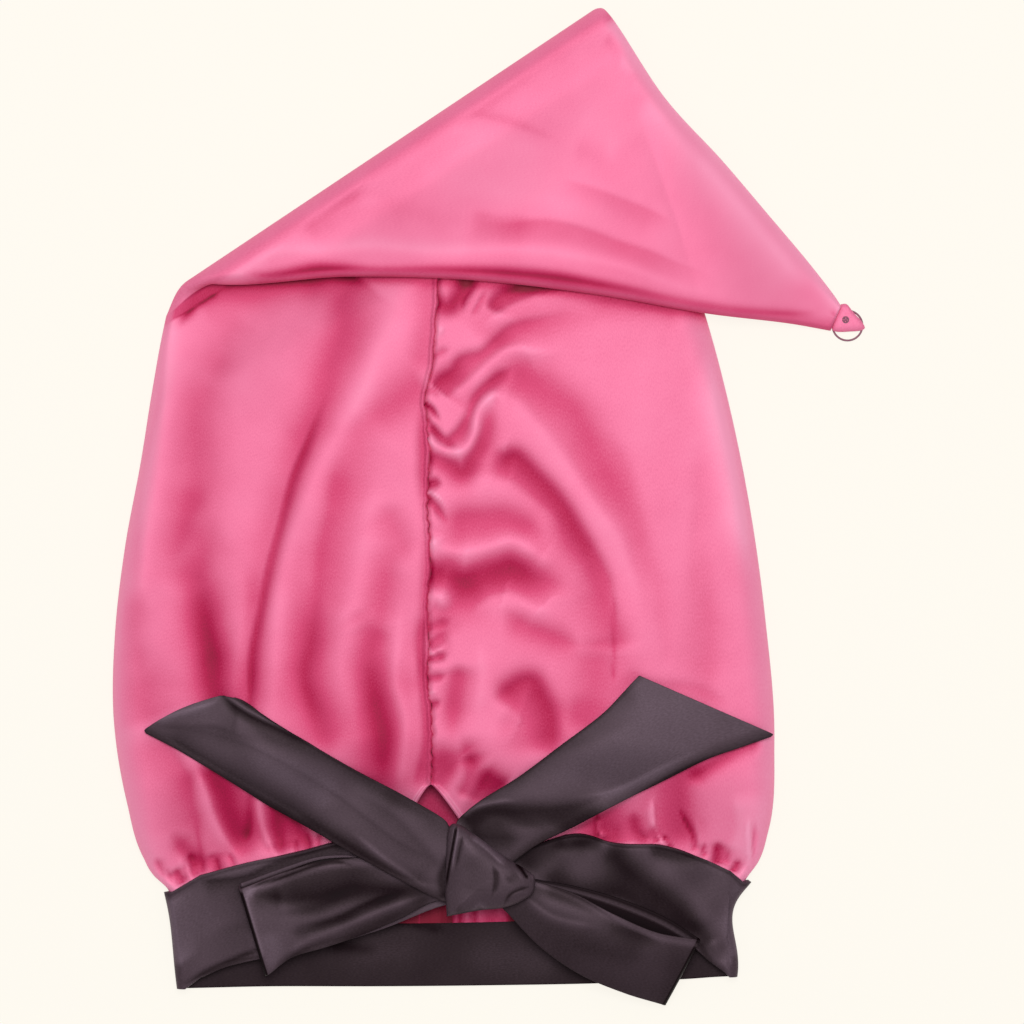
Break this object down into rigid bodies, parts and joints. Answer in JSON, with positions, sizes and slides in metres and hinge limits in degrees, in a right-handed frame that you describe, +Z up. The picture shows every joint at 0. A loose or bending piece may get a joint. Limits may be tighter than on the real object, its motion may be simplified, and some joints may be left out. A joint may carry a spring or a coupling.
{
  "type": "sleep bonnet",
  "caption": "Long soft satin sleep bonnet lying flat: a tapering hollow bag on a wide band tied in a bow at the front, its pointed top folded forward and finished with a tab and a hanging loop.",
  "frame": {"origin": "on the floor, under the middle of the outline of the bonnet as it lies", "axes": "+X to the wearer's left (right of the bow as seen), +Y from the band to the crease of the folded top, +Z up from the floor"},
  "size_m": [0.3769, 0.4997, 0.0297],
  "materials": {
    "pink_satin": "pink satin, soft sheen",
    "charcoal_satin": "charcoal satin, soft sheen",
    "mauve_thread": "smooth covered elastic"
  },
  "bodies": {
    "root": {"crown": "pink_satin", "band": "charcoal_satin", "tail_upper_left": "charcoal_satin", "tail_upper_right": "charcoal_satin", "loop_lower_left": "charcoal_satin", "loop_lower_right": "charcoal_satin", "knot": "charcoal_satin", "tip_tab": "pink_satin", "tip_loop": "mauve_thread", "tip_stud": "mauve_thread"}
  },
  "joints": []
}
